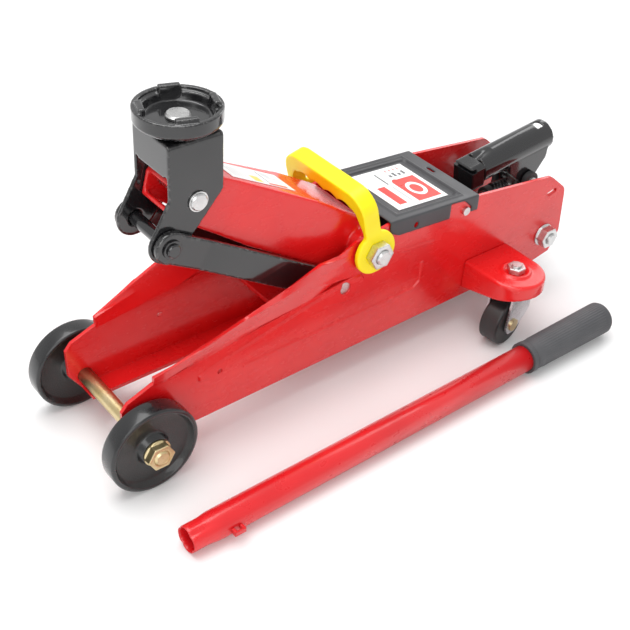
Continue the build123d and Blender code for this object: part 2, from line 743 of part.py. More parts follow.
ram_tip = lug[0] + lug_roller_r + 0.9
ram_nose = 12.0
with BuildPart() as ram:
    with BuildSketch(Plane.YZ.offset(ram_tip)):
        with Locations((0, ram_z)):
            Circle(ram_r - 2.2)
    extrude(amount=ram_nose)
    with BuildSketch(Plane.YZ.offset(ram_tip + ram_nose)):
        with Locations((0, ram_z)):
            Circle(ram_r)
    extrude(amount=50.0)
    chamfer(ram.edges().filter_by(GeomType.CIRCLE), 0.8)

with BuildPart() as release_valve:
    with BuildSketch(Plane.XY.offset(block_low)):
        with Locations((338.0, 0)):
            RegularPolygon(6.0, 6, major_radius=False)
    extrude(amount=6.0)

# ---- handle socket
tilt = radians(socket_tilt)
socket_dir = (cos(tilt), 0, sin(tilt))
socket_axis = Plane(origin=(socket_front[0], 0, socket_front[1]), x_dir=(0, 1, 0), z_dir=socket_dir)
cheek_in = 9.5
cheek_out = 12.8
with BuildPart() as handle_socket:
    with BuildSketch(socket_axis):
        Circle(socket_r)
    extrude(amount=socket_len)
    cheek = [(384.0, 119.0), (431.0, 124.0), (430.0, 114.0), (418.0, 98.0), (415.5, 86.0)]
    cheek += [(412.0, 81.4), (406.0, 81.4), (402.6, 86.0), (400.0, 98.0), (386.0, 110.0)]
    for y0, y1 in ((-cheek_out, -cheek_in), (cheek_in, cheek_out)):
        slab_y(cheek, y0, y1)
    with BuildSketch(socket_axis.offset(socket_neck)):
        Circle(socket_bore)
    extrude(amount=socket_len, mode=Mode.SUBTRACT)
    with BuildSketch(socket_axis):
        Circle(neck_bore)
    extrude(amount=socket_neck, mode=Mode.SUBTRACT)
    bar_y(socket_pivot, socket_pin_r + run_fit, -30, 30, mode=Mode.SUBTRACT)
    bar_y((socket_pivot[0], roller_z), 3.0 + snug, -30, 30, mode=Mode.SUBTRACT)

with BuildPart() as socket_roller:
    bar_y((socket_pivot[0], roller_z), 3.0, -cheek_out - 0.8, cheek_out + 0.8)
    bar_y((socket_pivot[0], roller_z), roller_r, -cheek_in + 0.2, cheek_in - 0.2)

with BuildPart() as socket_pin:
    bar_y(socket_pivot, socket_pin_r, -20.5, 20.5)
    chamfer(socket_pin.edges().filter_by(GeomType.CIRCLE), 0.6)

plunger_tip = socket_pivot[0] - roller_r - 0.4
with BuildPart() as plunger:
    with BuildSketch(Plane.YZ.offset(boss_x0 - 1.5)):
        with Locations((0, roller_z)):
            Circle(plunger_r)
    extrude(amount=plunger_tip - boss_x0 + 1.5)
    with BuildSketch(Plane.YZ.offset(plunger_tip - 4.0)):
        with Locations((0, roller_z)):
            Circle(7.2)
    extrude(amount=3.0)

spring_len = plunger_tip - 4.0 - boss_x1 - 0.6
with BuildPart() as pump_spring:
    with BuildLine() as coil:
        pitch = (spring_len - 2 * spring_wire) / 5
        start = (boss_x1 + 0.3 + spring_wire, 0, roller_z)
        Helix(pitch, pitch * 5, spring_r, center=start, direction=(1, 0, 0))
    with BuildSketch(Plane(coil.line @ 0, z_dir=coil.line % 0)):
        Circle(spring_wire)
    sweep(path=coil.line, is_frenet=True)

# the release coupling turns in the nose of the socket
with BuildPart() as release_knuckle:
    with BuildSketch(socket_axis.offset(-14.0)) as nose:
        with Locations((0, -2.0)):
            RectangleRounded(24.0, 23.0, 5.0)
    extrude(amount=13.6)
    chamfer(release_knuckle.edges().group_by(Axis.X)[0], 1.2)
    with BuildSketch(socket_axis.offset(-0.6)):
        Circle(neck_bore - run_fit)
    extrude(amount=socket_neck - 2.0)
    with BuildSketch(socket_axis.offset(-14.0)):
        with Locations((0, 6.5)):
            Rectangle(30.0, 3.0)
    extrude(amount=5.0, mode=Mode.SUBTRACT)

# ---- pump handle, lying beside the jack
handle_dir = Vector(*handle_rear) - Vector(*handle_front)
handle_axis = Plane(origin=handle_front, x_dir=(0, 0, 1), z_dir=handle_dir.normalized())
with BuildPart() as handle_tube:
    with BuildSketch(handle_axis):
        Circle(handle_r - 0.7)
    extrude(amount=15.0)
    with BuildSketch(handle_axis.offset(15.0)):
        Circle(handle_r)
    extrude(amount=handle_len - 15.0 - 4.0)
    with BuildSketch(handle_axis):
        Circle(handle_r - handle_wall)
    extrude(amount=handle_len, mode=Mode.SUBTRACT)

grip_start = handle_len - grip_len
with BuildPart() as handle_grip:
    with BuildSketch(handle_axis.offset(grip_start)):
        Circle(grip_r0)
    with BuildSketch(handle_axis.offset(handle_len)):
        Circle(grip_r1)
    loft()
    fillet(handle_grip.edges().filter_by(GeomType.CIRCLE).sort_by(Axis.X)[-1], 3.5)
    with BuildSketch(handle_axis.offset(grip_start)):
        Circle(handle_r + snug)
    extrude(amount=grip_len - 3.8, mode=Mode.SUBTRACT)

with BuildPart() as grip_collar:
    with BuildSketch(handle_axis.offset(grip_start - 4.5)):
        Circle(handle_r + 2.4)
        Circle(handle_r + snug, mode=Mode.SUBTRACT)
    extrude(amount=4.4)

with BuildPart() as handle_tab:
    with Locations((18.0, handle_front[1] - handle_r - 2.4, 11.3)):
        Box(9.0, 5.0, 3.6)
    with Locations((18.0, handle_front[1] - handle_r - 1.4, 11.3)):
        Box(4.6, 4.4, 6.0, mode=Mode.SUBTRACT)
    with BuildSketch(handle_axis):
        Circle(handle_r + snug)
    extrude(amount=60, mode=Mode.SUBTRACT)

pieces = {
    "frame_side_near": frame_side_near,
    "frame_side_far": frame_side_far,
    "base_plate": base_plate,
    "front_axle": front_axle,
    "axle_spacers": axle_spacers,
    "axle_nuts": axle_nuts,
    "front_wheel_near": front_wheel_near,
    "front_wheel_far": front_wheel_far,
    "pivot_shaft": pivot_shaft,
    "pivot_washers": pivot_washers,
    "pivot_nuts": pivot_nuts,
    "lift_arm": lift_arm,
    "lug_roller": lug_roller,
    "arm_label": arm_label,
    "arm_pin": arm_pin_bar,
    "arm_pin_clips": arm_pin_clips,
    "link_bar_near": link_bar_near,
    "link_bar_far": link_bar_far,
    "link_studs": link_studs,
    "link_pin": link_pin_rod,
    "link_rings": link_rings,
    "saddle_bracket": saddle_bracket,
    "saddle": saddle,
    "saddle_rivet": saddle_rivet,
    "cover": cover,
    "label_plate": label_plate,
    "cover_screws": cover_screws,
    "carry_handle": carry_handle,
    "rear_tie": rear_tie,
    "rear_nuts": rear_nuts,
    "caster_shelf_near": caster_shelf_near,
    "caster_shelf_far": caster_shelf_far,
    "caster_bolts": caster_bolts,
    "caster_nuts": caster_nuts,
    "caster_fork_near": caster_fork_near,
    "caster_fork_far": caster_fork_far,
    "caster_wheel_near": caster_wheel_near,
    "caster_wheel_far": caster_wheel_far,
    "caster_rivet_near": caster_rivet_near,
    "caster_rivet_far": caster_rivet_far,
    "pump_block": pump_block,
    "cylinder": cylinder,
    "ram": ram,
    "release_valve": release_valve,
    "handle_socket": handle_socket,
    "socket_roller": socket_roller,
    "socket_pin": socket_pin,
    "plunger": plunger,
    "pump_spring": pump_spring,
    "release_knuckle": release_knuckle,
    "handle_tube": handle_tube,
    "handle_grip": handle_grip,
    "grip_collar": grip_collar,
    "handle_tab": handle_tab,
}
boxes = [piece.part.bounding_box() for piece in pieces.values()]
middle_x = (min(b.min.X for b in boxes) + max(b.max.X for b in boxes)) / 2
middle_y = (min(b.min.Y for b in boxes) + max(b.max.Y for b in boxes)) / 2
for name, piece in pieces.items():
    placed = piece.part.moved(Location((-middle_x, -middle_y, 0)))
    placed.label = name
    export_step(placed, f"parts/{name}.step")
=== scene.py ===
import json
import math

import bmesh
import bpy
from mathutils import Matrix, Vector

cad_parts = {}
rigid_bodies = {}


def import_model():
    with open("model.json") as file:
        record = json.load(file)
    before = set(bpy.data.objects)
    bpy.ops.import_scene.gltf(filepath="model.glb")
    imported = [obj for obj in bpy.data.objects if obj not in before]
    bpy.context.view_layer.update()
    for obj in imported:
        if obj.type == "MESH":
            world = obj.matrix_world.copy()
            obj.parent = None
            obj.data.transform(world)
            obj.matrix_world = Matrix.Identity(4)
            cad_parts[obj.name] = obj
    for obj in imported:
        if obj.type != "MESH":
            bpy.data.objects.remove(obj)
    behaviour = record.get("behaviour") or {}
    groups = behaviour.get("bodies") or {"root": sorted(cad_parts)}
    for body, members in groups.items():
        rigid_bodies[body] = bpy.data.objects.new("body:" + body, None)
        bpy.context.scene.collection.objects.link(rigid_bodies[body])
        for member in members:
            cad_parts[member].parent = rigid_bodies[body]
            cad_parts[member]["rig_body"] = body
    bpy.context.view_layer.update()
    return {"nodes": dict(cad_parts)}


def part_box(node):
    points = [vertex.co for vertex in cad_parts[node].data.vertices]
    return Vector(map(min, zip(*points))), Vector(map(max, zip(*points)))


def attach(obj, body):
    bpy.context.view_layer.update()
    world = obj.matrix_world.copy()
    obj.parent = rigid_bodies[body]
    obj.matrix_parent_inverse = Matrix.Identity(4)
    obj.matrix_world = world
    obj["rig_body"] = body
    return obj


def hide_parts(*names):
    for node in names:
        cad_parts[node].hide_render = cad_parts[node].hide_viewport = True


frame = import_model()
nodes = frame["nodes"]
print("jack: frame loaded")

# where the CAD datum (floor under the front axle) sits in this frame
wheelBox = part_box("front_wheel_near")
axleX = (wheelBox[0][0] + wheelBox[1][0]) / 2
plateBox = [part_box("frame_side_near"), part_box("frame_side_far")]
middleY = (plateBox[0][0][1] + plateBox[1][1][1]) / 2


def spot(x, y, z):
    # millimetres from the datum to metres here
    return Vector((axleX + x / 1000, middleY + y / 1000, z / 1000))


# ---- camera and light
view = {"azimuth": -40.384, "elevation": 37.209, "roll": 3.843, "lens": 64.04}
view["place"] = spot(-282.17, -553.19, 585.98)


def makeCamera(cfg):
    az, el, roll = (math.radians(cfg[k]) for k in ("azimuth", "elevation", "roll"))
    back = Vector((math.sin(az) * math.cos(el), -math.cos(az) * math.cos(el), math.sin(el)))
    right = (-back).cross(Vector((0, 0, 1))).normalized()
    up = right.cross(-back)
    side = math.cos(roll) * right + math.sin(roll) * up
    top = -math.sin(roll) * right + math.cos(roll) * up
    turn = Matrix((side, top, back)).transposed().to_4x4()
    data = bpy.data.cameras.new("jackCamera")
    data.lens = cfg["lens"]
    data.sensor_width = 36
    data.clip_start = 0.01
    obj = bpy.data.objects.new("jackCamera", data)
    obj.matrix_world = Matrix.Translation(cfg["place"]) @ turn
    bpy.context.scene.collection.objects.link(obj)
    bpy.context.scene.camera = obj


makeCamera(view)
bpy.context.scene.view_settings.view_transform = "Standard"

light = {"key": 17.0, "fill": 7.0, "rim": 4.0, "sky": 0.72}


def areaLight(name, place, target, size, power):
    data = bpy.data.lights.new(name, "AREA")
    data.shape = "RECTANGLE"
    data.size, data.size_y = size
    data.energy = power
    obj = bpy.data.objects.new(name, data)
    obj.location = place
    aim = Vector(target) - Vector(place)
    obj.rotation_euler = aim.to_track_quat("-Z", "Y").to_euler()
    bpy.context.scene.collection.objects.link(obj)


areaLight("softTop", (-0.25, 0.25, 1.5), (0, 0, 0.05), (1.4, 1.1), light["key"])
areaLight("softNear", (-0.9, -1.1, 0.9), (0, 0, 0.1), (1.1, 0.8), light["fill"])
areaLight("softRear", (1.2, 0.5, 0.8), (0, 0, 0.1), (0.8, 0.8), light["rim"])

world = bpy.data.worlds.new("studio")
world.use_nodes = True
world.node_tree.nodes["Background"].inputs[0].default_value = (1, 1, 1, 1)
world.node_tree.nodes["Background"].inputs[1].default_value = light["sky"]
bpy.context.scene.world = world


# ---- material helpers
def newMaterial(name):
    mat = bpy.data.materials.new(name)
    mat.use_nodes = True
    tree = mat.node_tree
    shader = tree.nodes["Principled BSDF"]
    return mat, tree, shader


def addNode(tree, kind, **values):
    node = tree.nodes.new(kind)
    for key, value in values.items():
        if key in node.inputs:
            node.inputs[key].default_value = value
        else:
            setattr(node, key, value)
    return node


def objectCoords(tree):
    found = tree.nodes.get("Coords") or tree.nodes.new("ShaderNodeTexCoord")
    found.name = "Coords"
    return found.outputs["Object"]


def noise(tree, scale, detail=3.0, rough=0.5, stretch=None):
    node = addNode(tree, "ShaderNodeTexNoise")
    node.inputs["Scale"].default_value = scale
    node.inputs["Detail"].default_value = detail
    node.inputs["Roughness"].default_value = rough
    source = objectCoords(tree)
    if stretch:
        mapping = tree.nodes.new("ShaderNodeMapping")
        mapping.inputs["Scale"].default_value = stretch
        tree.links.new(source, mapping.inputs["Vector"])
        source = mapping.outputs["Vector"]
    tree.links.new(source, node.inputs["Vector"])
    return node.outputs["Fac"]


def ramp(tree, fac, stops):
    node = tree.nodes.new("ShaderNodeValToRGB")
    tree.links.new(fac, node.inputs["Fac"])
    bar = node.color_ramp
    while len(bar.elements) < len(stops):
        bar.elements.new(0.5)
    for element, (pos, colour) in zip(bar.elements, stops):
        element.position = pos
        if isinstance(colour, (int, float)):
            colour = (colour, colour, colour)
        element.color = (*colour, 1)
    return node.outputs["Color"]


def mixColour(tree, fac, a, b):
    node = tree.nodes.new("ShaderNodeMix")
    node.data_type = "RGBA"
    for socket, value in ((node.inputs[0], fac), (node.inputs[6], a), (node.inputs[7], b)):
        if isinstance(value, bpy.types.NodeSocket):
            tree.links.new(value, socket)
        elif isinstance(value, (int, float)):
            socket.default_value = value
        else:
            socket.default_value = (*value, 1)
    return node.outputs[2]


def mapRange(tree, fac, low, high, outLow, outHigh):
    node = tree.nodes.new("ShaderNodeMapRange")
    tree.links.new(fac, node.inputs[0])
    for i, value in enumerate((low, high, outLow, outHigh), 1):
        node.inputs[i].default_value = value
    return node.outputs[0]


def bump(tree, height, strength, distance, shader, prior=None):
    node = tree.nodes.new("ShaderNodeBump")
    node.inputs["Strength"].default_value = strength
    node.inputs["Distance"].default_value = distance
    tree.links.new(height, node.inputs["Height"])
    if prior:
        tree.links.new(prior, node.inputs["Normal"])
    tree.links.new(node.outputs["Normal"], shader.inputs["Normal"])
    return node.outputs["Normal"]


def roundEdges(tree, radius, shader):
    # soft highlights where pressed metal turns a corner
    node = tree.nodes.new("ShaderNodeBevel")
    node.samples = 4
    node.inputs["Radius"].default_value = radius
    tree.links.new(node.outputs["Normal"], shader.inputs["Normal"])
    return node.outputs["Normal"]


def edgeWear(tree):
    node = tree.nodes.new("ShaderNodeNewGeometry")
    return mapRange(tree, node.outputs["Pointiness"], 0.5, 0.56, 0, 1)


def paintMaterial(name, cfg):
    mat, tree, shader = newMaterial(name)
    broad = noise(tree, 18, 2)
    colour = ramp(tree, broad, [(0.3, cfg["dark"]), (0.7, cfg["light"])])
    if cfg.get("worn"):
        chips = noise(tree, 300, 4, 0.7)
        edge = edgeWear(tree)
        worn = addNode(tree, "ShaderNodeMath", operation="MULTIPLY")
        tree.links.new(edge, worn.inputs[0])
        tree.links.new(mapRange(tree, chips, 0.5, 0.62, 0, cfg["worn"]), worn.inputs[1])
        colour = mixColour(tree, worn.outputs[0], colour, cfg["bare"])
    speck = noise(tree, 900, 2, 0.6)
    dustMix = mapRange(tree, speck, 0.7, 0.8, 0, 0.1)
    colour = mixColour(tree, dustMix, colour, cfg["light"])
    tree.links.new(colour, shader.inputs["Base Color"])
    smear = noise(tree, 45, 5, 0.6, (1, 1, 2.2))
    roughness = mapRange(tree, smear, 0.3, 0.7, *cfg["rough"])
    tree.links.new(roughness, shader.inputs["Roughness"])
    shader.inputs["Coat Weight"].default_value = cfg.get("coat", 0.0)
    shader.inputs["Coat Roughness"].default_value = 0.08
    corner = roundEdges(tree, cfg.get("corner", 0.0009), shader)
    peel = noise(tree, cfg.get("peelScale", 240), 2, 0.5)
    bump(tree, peel, cfg.get("peel", 0.06), 0.0004, shader, corner)
    return mat


paints = {
    "redEnamel": {
        "dark": (0.66, 0.006, 0.008), "light": (0.76, 0.012, 0.012),
        "rough": (0.2, 0.32), "coat": 0.35,
    },
    "tubeRed": {
        "dark": (0.62, 0.008, 0.012), "light": (0.74, 0.012, 0.016),
        "rough": (0.24, 0.36), "coat": 0.3,
    },
    "blackEnamel": {
        "dark": (0.006, 0.006, 0.007), "light": (0.016, 0.016, 0.017),
        "rough": (0.1, 0.22), "coat": 0.7, "worn": 0.35, "bare": (0.35, 0.34, 0.33),
    },
    "blackGloss": {
        "dark": (0.006, 0.006, 0.007), "light": (0.016, 0.016, 0.017),
        "rough": (0.08, 0.2), "coat": 0.7,
    },
    "coverGrey": {
        "dark": (0.035, 0.035, 0.038), "light": (0.055, 0.055, 0.06),
        "rough": (0.32, 0.45), "corner": 0.0006,
    },
    "yellowPlastic": {
        "dark": (0.92, 0.74, 0.0), "light": (1.0, 0.86, 0.004),
        "rough": (0.36, 0.48), "peel": 0.03,
    },
    "wheelPaint": {
        "dark": (0.006, 0.006, 0.007), "light": (0.018, 0.018, 0.019),
        "rough": (0.22, 0.36), "coat": 0.4,
    },
    "wheelCast": {
        "dark": (0.005, 0.005, 0.005), "light": (0.02, 0.02, 0.02),
        "rough": (0.3, 0.5), "coat": 0.4, "peel": 0.8, "peelScale": 900,
    },
    "castBody": {
        "dark": (0.02, 0.02, 0.021), "light": (0.05, 0.05, 0.05),
        "rough": (0.45, 0.7), "peel": 0.4,
    },
    "casterPlastic": {
        "dark": (0.012, 0.012, 0.013), "light": (0.03, 0.03, 0.03),
        "rough": (0.35, 0.5),
    },
    "gripRubber": {
        "dark": (0.05, 0.05, 0.055), "light": (0.085, 0.085, 0.09),
        "rough": (0.5, 0.65),
    },
}
mats = {name: paintMaterial(name, cfg) for name, cfg in paints.items()}


def metalMaterial(name, cfg):
    mat, tree, shader = newMaterial(name)
    cloud = noise(tree, 60, 4, 0.6)
    colour = ramp(tree, cloud, [(0.3, cfg["dark"]), (0.7, cfg["light"])])
    tree.links.new(colour, shader.inputs["Base Color"])
    shader.inputs["Metallic"].default_value = 1.0
    scratch = noise(tree, 500, 3, 0.7, (1, 1, 6))
    roughness = mapRange(tree, scratch, 0.3, 0.7, *cfg["rough"])
    tree.links.new(roughness, shader.inputs["Roughness"])
    bump(tree, scratch, 0.08, 0.0003, shader)
    return mat


metals = {
    "yellowZinc": {"dark": (0.62, 0.47, 0.22), "light": (0.78, 0.66, 0.40), "rough": (0.25, 0.42)},
    "brightZinc": {"dark": (0.58, 0.58, 0.58), "light": (0.78, 0.78, 0.77), "rough": (0.22, 0.4)},
    "forkZinc": {"dark": (0.60, 0.60, 0.62), "light": (0.80, 0.80, 0.82), "rough": (0.2, 0.35)},
    "brassRivet": {"dark": (0.62, 0.48, 0.26), "light": (0.75, 0.62, 0.38), "rough": (0.25, 0.4)},
}
mats.update({name: metalMaterial(name, cfg) for name, cfg in metals.items()})


def tintedAxle(name):
    # welding heat browned the axle beside the far plate
    mat = mats["yellowZinc"].copy()
    mat.name = name
    tree = mat.node_tree
    shader = tree.nodes["Principled BSDF"]
    plain = shader.inputs["Base Color"].links[0].from_socket
    parts = tree.nodes.new("ShaderNodeSeparateXYZ")
    tree.links.new(objectCoords(tree), parts.inputs[0])
    heat = mapRange(tree, parts.outputs[1], middleY + 0.008, middleY + 0.036, 0, 1)
    mottle = mixColour(tree, noise(tree, 160, 4, 0.7), (0.16, 0.09, 0.05), (0.42, 0.26, 0.14))
    tree.links.new(mixColour(tree, heat, plain, mottle), shader.inputs["Base Color"])
    mats[name] = mat


tintedAxle("axleTint")

def band(tree, value, low, high):
    # 1 between low and high
    node = addNode(tree, "ShaderNodeMath", operation="COMPARE")
    tree.links.new(value, node.inputs[0])
    node.inputs[1].default_value = (low + high) / 2
    node.inputs[2].default_value = (high - low) / 2
    return node.outputs[0]


def both(tree, a, b):
    node = addNode(tree, "ShaderNodeMath", operation="MULTIPLY")
    tree.links.new(a, node.inputs[0])
    tree.links.new(b, node.inputs[1])
    return node.outputs[0]


def faceShares(tree, nodeName):
    # how far along X and across Y of its piece a point is, from 0 to 1
    low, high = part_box(nodeName)
    parts = tree.nodes.new("ShaderNodeSeparateXYZ")
    tree.links.new(objectCoords(tree), parts.inputs[0])
    along = mapRange(tree, parts.outputs[0], low.x, high.x, 0, 1)
    across = mapRange(tree, parts.outputs[1], low.y, high.y, 0, 1)
    return along, across


def disc(tree, along, across, centre, radius, aspect):
    spotNode = tree.nodes.new("ShaderNodeCombineXYZ")
    tree.links.new(along, spotNode.inputs[0])
    tree.links.new(across, spotNode.inputs[1])
    mapping = tree.nodes.new("ShaderNodeMapping")
    mapping.inputs["Location"].default_value = (-centre[0], -centre[1] * aspect, 0)
    mapping.inputs["Scale"].default_value = (1, aspect, 1)
    tree.links.new(spotNode.outputs[0], mapping.inputs["Vector"])
    length = addNode(tree, "ShaderNodeVectorMath", operation="LENGTH")
    tree.links.new(mapping.outputs[0], length.inputs[0])
    return band(tree, length.outputs["Value"], -radius, radius)


def printMaterial(name, nodeName, art):
    mat, tree, shader = newMaterial(name)
    along, across = faceShares(tree, nodeName)
    cloud = noise(tree, 90, 3)
    colour = ramp(tree, cloud, [(0.3, art["paper"]), (0.7, tuple(min(1, c * 1.04) for c in art["paper"]))])
    for x0, x1, y0, y1, tint in art["boxes"]:
        mask = both(tree, band(tree, along, x0, x1), band(tree, across, y0, y1))
        colour = mixColour(tree, mask, colour, tint)
    for x, y, radius, aspect, tint in art["discs"]:
        colour = mixColour(tree, disc(tree, along, across, (x, y), radius, aspect), colour, tint)
    tree.links.new(colour, shader.inputs["Base Color"])
    gloss = noise(tree, 120, 4, 0.6)
    tree.links.new(mapRange(tree, gloss, 0.3, 0.7, 0.26, 0.42), shader.inputs["Roughness"])
    bump(tree, gloss, 0.04, 0.0003, shader)
    return mat


badgeRed = (0.80, 0.05, 0.04)
ink = (0.12, 0.12, 0.13)
coverArt = {"paper": (0.86, 0.86, 0.86), "boxes": [], "discs": []}
coverArt["boxes"] += [(0.47, 0.93, 0.06, 0.60, badgeRed), (0.55, 0.93, 0.06, 0.66, badgeRed)]
coverArt["discs"] += [(0.55, 0.585, 0.08, 0.84, badgeRed)]
coverArt["discs"] += [(0.70, 0.35, 0.15, 0.84, (0.86, 0.86, 0.86)), (0.70, 0.35, 0.095, 0.84, badgeRed)]
coverArt["boxes"] += [(0.56 + 0.09 * i, 0.61 + 0.09 * i, 0.74, 0.80 + 0.04 * (i % 2), ink) for i in range(4)]
coverArt["boxes"] += [(0.60 + 0.08 * i, 0.62 + 0.08 * i, 0.88, 0.94, badgeRed) for i in range(4)]
coverArt["boxes"] += [(0.36, 0.40, 0.10, 0.52, (0.55, 0.55, 0.56)), (0.36, 0.39, 0.60, 0.90, ink)]
coverArt["boxes"] += [(0.12, 0.27, 0.10, 0.58, badgeRed), (0.16, 0.20, 0.62, 0.92, (0.7, 0.7, 0.7))]
armArt = {"paper": (0.84, 0.84, 0.82), "boxes": [], "discs": []}
armArt["boxes"] += [(0.10 + 0.05 * i, 0.112 + 0.05 * i, 0.15, 0.8, (0.35, 0.35, 0.36)) for i in range(5)]
armArt["boxes"] += [(0.38, 0.52, 0.08, 0.45, (0.85, 0.62, 0.08)), (0.60, 0.90, 0.04, 0.16, badgeRed)]
armArt["boxes"] += [(0.70, 0.86, 0.50, 0.62, (0.6, 0.6, 0.6)), (0.62, 0.64, 0.2, 0.9, ink)]
armArt["discs"] += [(0.74, 0.74, 0.07, 0.42, (0.62, 0.62, 0.63))]
mats["coverPrint"] = printMaterial("coverPrint", "label_plate", coverArt)
mats["armPrint"] = printMaterial("armPrint", "arm_label", armArt)

finish = {
    "redEnamel": "frame_side_near frame_side_far base_plate caster_shelf_near caster_shelf_far lift_arm",
    "tubeRed": "handle_tube handle_tab",
    "blackEnamel": "saddle_bracket saddle link_bar_near link_bar_far",
    "blackGloss": "handle_socket release_knuckle link_pin link_rings pump_spring",
    "coverGrey": "cover",
    "yellowPlastic": "carry_handle",
    "wheelPaint": "front_wheel_near front_wheel_far",
    "castBody": "pump_block cylinder",
    "casterPlastic": "caster_wheel_near caster_wheel_far",
    "gripRubber": "handle_grip grip_collar",
    "coverPrint": "label_plate",
    "armPrint": "arm_label",
    "yellowZinc": "axle_spacers axle_nuts",
    "axleTint": "front_axle",
    "brightZinc": "pivot_shaft pivot_washers pivot_nuts arm_pin arm_pin_clips link_studs "
    "saddle_rivet cover_screws rear_tie rear_nuts caster_bolts caster_nuts lug_roller socket_roller "
    "socket_pin plunger release_valve ram",
    "forkZinc": "caster_fork_near caster_fork_far",
    "brassRivet": "caster_rivet_near caster_rivet_far",
}
for matName, names in finish.items():
    for name in names.split():
        for slotItem in nodes[name].material_slots:
            slotItem.material = mats[matName]
print("jack: finishes set")


# ---- pieces that get a finer shape than the frame has
everyAxis = {"use_axis_x": True, "use_axis_y": True, "use_axis_z": True}


def putIn(obj, nodeName, matName):
    source = nodes[nodeName]
    if obj.name not in bpy.context.scene.collection.objects:
        bpy.context.scene.collection.objects.link(obj)
    obj.data.materials.clear()
    obj.data.materials.append(mats[matName])
    for poly in obj.data.polygons:
        poly.use_smooth = True
    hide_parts(nodeName)
    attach(obj, source["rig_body"])


def soften(nodeName, matName, voxel, passes, shape=None, cutter=None):
    # rounds every edge of a piece, as moulding or pressing leaves it
    source = nodes[nodeName]
    obj = bpy.data.objects.new(nodeName + "Soft", source.data.copy())
    bpy.context.scene.collection.objects.link(obj)
    if cutter:
        notch = obj.modifiers.new("notch", "BOOLEAN")
        notch.operation = "DIFFERENCE"
        notch.solver = "EXACT"
        notch.object = cutter
    remesh = obj.modifiers.new("even", "REMESH")
    remesh.mode = "VOXEL"
    remesh.voxel_size = voxel / 1000
    even = bpy.data.meshes.new_from_object(obj.evaluated_get(bpy.context.evaluated_depsgraph_get()))
    obj.modifiers.clear()
    obj.data = even
    bm = bmesh.new()
    bm.from_mesh(even)
    for step in range(passes):
        bmesh.ops.smooth_vert(bm, verts=bm.verts, factor=0.5, **everyAxis)
    if shape:
        for vert in bm.verts:
            vert.co = shape(vert.co)
    bmesh.ops.recalc_face_normals(bm, faces=bm.faces)
    bm.to_mesh(even)
    bm.free()
    putIn(obj, nodeName, matName)


soften("carry_handle", "yellowPlastic", 0.7, 9)
soften("saddle_bracket", "blackEnamel", 0.8, 3)
soften("saddle", "blackEnamel", 0.6, 3)
for side in ("near", "far"):
    soften("link_bar_" + side, "blackEnamel", 0.8, 3)
    soften("caster_shelf_" + side, "redEnamel", 0.8, 3)
soften("lift_arm", "redEnamel", 0.9, 6)
soften("axle_nuts", "yellowZinc", 0.45, 3)
soften("pivot_nuts", "brightZinc", 0.45, 3)
soften("rear_nuts", "brightZinc", 0.45, 3)
soften("caster_nuts", "brightZinc", 0.4, 3)
print("jack: edges rounded")


# ---- cover: a raised bead runs round the sunk label
bead = {"half": 34.5, "reach": 1.9, "wide": 1.1, "high": 0.9, "edge": 6.5, "slope": 9.5, "rim": 41.5}
labelLow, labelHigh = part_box("label_plate")
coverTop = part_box("cover")[1].z


def coverBead(co):
    aside = abs(co.y - middleY) * 1000
    if co.z < coverTop - bead["slope"] / 1000 or aside > bead["rim"]:
        return co
    ahead = (labelLow.x - co.x) * 1000 - bead["edge"]
    behind = (co.x - labelHigh.x) * 1000 - bead["edge"]
    out = max(aside - bead["half"], ahead, behind)
    lift = bead["high"] * math.exp(-((out - bead["reach"]) / bead["wide"]) ** 2)
    return Vector((co.x, co.y, min(coverTop, co.z + lift / 1000)))


soften("cover", "coverGrey", 0.7, 2, coverBead)


# ---- handle socket: its front is crimped from above
socket = {"tilt": 6.8, "dent": 4.2, "length": 17.0, "crease": 0.7, "creaseLength": 50.0, "width": 4.0}
socketTilt = math.radians(socket["tilt"])
socketAxis = Vector((math.cos(socketTilt), 0, math.sin(socketTilt)))
socketTop = Vector((-socketAxis.z, 0, socketAxis.x))
frontPoint = spot(354.0, 0, 119.8)


def socketCrimp(co):
    offset = co - frontPoint
    t = offset.dot(socketAxis) * 1000
    rise = offset.dot(socketTop) * 1000
    if rise < 2 or t < -2:
        return co
    side = (co.y - middleY) * 1000
    dent = socket["dent"] * max(0.0, 1 - t / socket["length"])
    dent += socket["crease"] * max(0.0, 1 - t / socket["creaseLength"])
    return co - socketTop * (dent * math.exp(-(side / socket["width"]) ** 2) / 1000)


def notchCutter(centre, size, axis):
    bm = bmesh.new()
    bmesh.ops.create_cube(bm, size=1)
    bmesh.ops.scale(bm, vec=size, verts=bm.verts)
    turn = axis.to_track_quat("X", "Z").to_matrix()
    bmesh.ops.rotate(bm, cent=(0, 0, 0), matrix=turn, verts=bm.verts)
    bmesh.ops.translate(bm, vec=centre, verts=bm.verts)
    mesh = bpy.data.meshes.new("notchCutter")
    bm.to_mesh(mesh)
    bm.free()
    obj = bpy.data.objects.new("notchCutter", mesh)
    bpy.context.scene.collection.objects.link(obj)
    return obj


notchCut = {"back": 0.073, "up": 0.0125, "size": (0.007, 0.009, 0.005)}
notchPlace = frontPoint + socketAxis * notchCut["back"] + socketTop * notchCut["up"]
cutter = notchCutter(notchPlace, notchCut["size"], socketAxis)
soften("handle_socket", "blackGloss", 0.6, 3, socketCrimp, cutter)
bpy.data.objects.remove(cutter)
for side in ("near", "far"):
    soften("caster_wheel_" + side, "casterPlastic", 0.5, 3)
print("jack: cover, socket and casters shaped")


